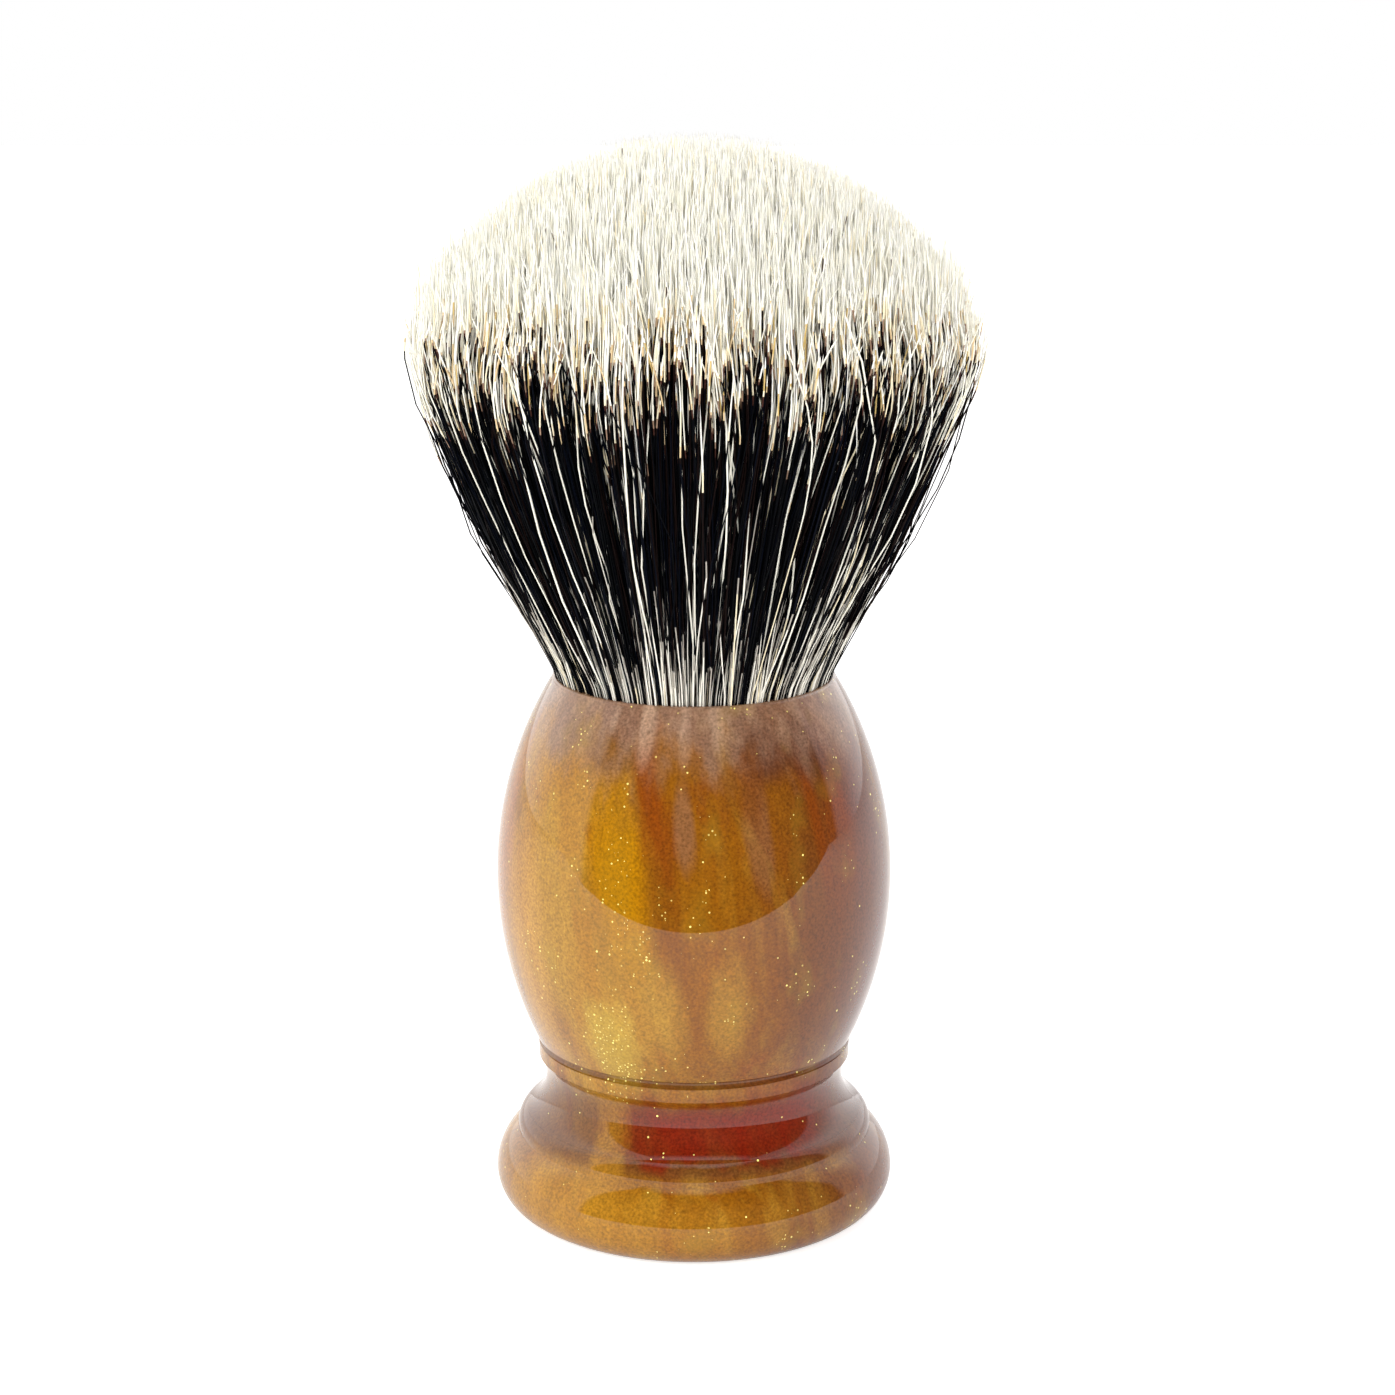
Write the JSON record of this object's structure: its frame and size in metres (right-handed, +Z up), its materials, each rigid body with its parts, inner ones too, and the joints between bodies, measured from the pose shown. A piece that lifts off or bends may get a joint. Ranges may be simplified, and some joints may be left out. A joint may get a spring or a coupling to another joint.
{
  "type": "shaving brush",
  "caption": "Free-standing shaving brush: a turned resin handle with a waisted foot and a fan-shaped two-band hair knot that bends and springs back.",
  "frame": {"origin": "centre of the foot's flat underside, on the brush's turning axis", "axes": "+Z up along the turning axis towards the hair tips; the brush is round, so +X and +Y are free, and the hair bends in the X-Z plane"},
  "size_m": [0.0508, 0.0508, 0.101],
  "materials": {
    "handle_resin": "polished pearlescent amber resin with lengthwise streaks and fine gold glitter",
    "glue": "cured clear amber epoxy adhesive",
    "plug_resin": "cast off-white epoxy",
    "thread": "twisted tying thread",
    "hair_root": "packed badger hair roots, mixed white and dark",
    "hair_dark": "near-black middle band of the hair, slight sheen",
    "hair_tip": "creamy white hair tips, soft sheen"
  },
  "bodies": {
    "handle": {"handle": "handle_resin", "glue_bed": "glue", "root_plug": "plug_resin", "binding_thread": "thread", "hair_roots": "hair_root", "hair_shoulder": "hair_dark"},
    "free_hair": {"hair_crown": "hair_tip"}
  },
  "joints": [
    {"name": "knot_bend", "type": "hinge", "parent": "handle", "child": "free_hair", "pos_m": [0, 0, 0.0596], "axis": [0, 1, 0], "range_deg": [-30, 30], "stiffness_Nm_per_rad": 0.35}
  ]
}
